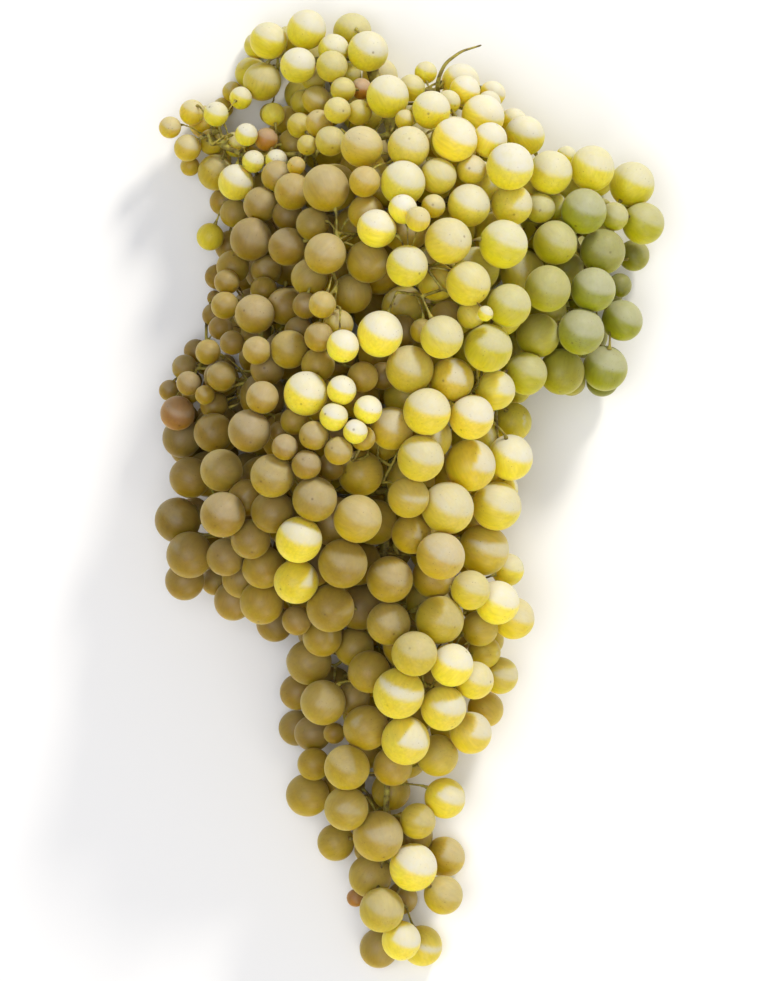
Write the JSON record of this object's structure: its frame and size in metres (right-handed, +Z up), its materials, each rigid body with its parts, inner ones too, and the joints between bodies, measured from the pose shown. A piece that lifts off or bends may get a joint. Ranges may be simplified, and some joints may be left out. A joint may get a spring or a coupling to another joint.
{
  "type": "bunch of grapes",
  "caption": "Large winged bunch of ripe white wine grapes on their stalk with a curled tendril, lying on its back.",
  "frame": {"origin": "bottom centre of the lying bunch, on the surface that it rests on", "axes": "+Y towards the stalk end along the bunch, +Z up through its full front, +X to the wing's side"},
  "size_m": [0.1678, 0.3176, 0.084],
  "materials": {
    "grape_skin_golden": "ripe golden-yellow grape skin with a thin wax bloom",
    "grape_skin_amber": "fully ripe amber grape skin with a thin wax bloom",
    "grape_skin_green": "green grape skin with a thin wax bloom",
    "green_stalk": "half-woody yellow-green grape stalk"
  },
  "bodies": {
    "root": {"back_lower": "grape_skin_amber", "back_middle": "grape_skin_amber", "back_upper": "grape_skin_amber", "crown_back": "grape_skin_golden", "crown_left": "grape_skin_golden", "crown_right": "grape_skin_golden", "heart_lower": "grape_skin_golden", "heart_upper": "grape_skin_golden", "left_body_centre": "grape_skin_amber", "left_body_core": "grape_skin_amber", "left_body_inner": "grape_skin_amber", "left_body_low": "grape_skin_amber", "left_body_outer": "grape_skin_amber", "left_body_upper": "grape_skin_amber", "left_lobe_back": "grape_skin_amber", "left_lobe_base": "grape_skin_amber", "left_lobe_edge": "grape_skin_amber", "left_lobe_inner": "grape_skin_amber", "left_lobe_top": "grape_skin_amber", "left_shoulder_core": "grape_skin_amber", "left_shoulder_inner": "grape_skin_amber", "left_shoulder_low": "grape_skin_amber", "left_shoulder_outer": "grape_skin_amber", "right_body_centre": "grape_skin_golden", "right_body_core": "grape_skin_golden", "right_body_edge": "grape_skin_golden", "right_body_low_edge": "grape_skin_golden", "right_body_lower": "grape_skin_golden", "right_body_middle": "grape_skin_golden", "right_body_right": "grape_skin_golden", "right_body_upper": "grape_skin_golden", "shoulder_back": "grape_skin_golden", "shoulder_centre": "grape_skin_golden", "shoulder_edge": "grape_skin_golden", "shoulder_inner": "grape_skin_golden", "shoulder_right": "grape_skin_golden", "shoulder_top": "grape_skin_golden", "stalk": "green_stalk", "tail_left": "grape_skin_amber", "tail_lower": "grape_skin_golden", "tail_right": "grape_skin_golden", "tail_tip": "grape_skin_golden", "tendril": "green_stalk", "top_centre": "grape_skin_amber", "top_inner": "grape_skin_amber", "top_left": "grape_skin_amber", "upper_left_back": "grape_skin_amber", "upper_left_base": "grape_skin_amber", "upper_left_stem": "grape_skin_amber", "upper_left_tip": "grape_skin_amber", "upper_tail_centre": "grape_skin_golden", "upper_tail_left": "grape_skin_amber", "upper_tail_low": "grape_skin_golden", "upper_tail_right": "grape_skin_golden", "wing_back": "grape_skin_green", "wing_centre": "grape_skin_green", "wing_edge": "grape_skin_green", "wing_root": "grape_skin_green", "wing_tip": "grape_skin_green", "wing_top": "grape_skin_green"}
  },
  "joints": []
}
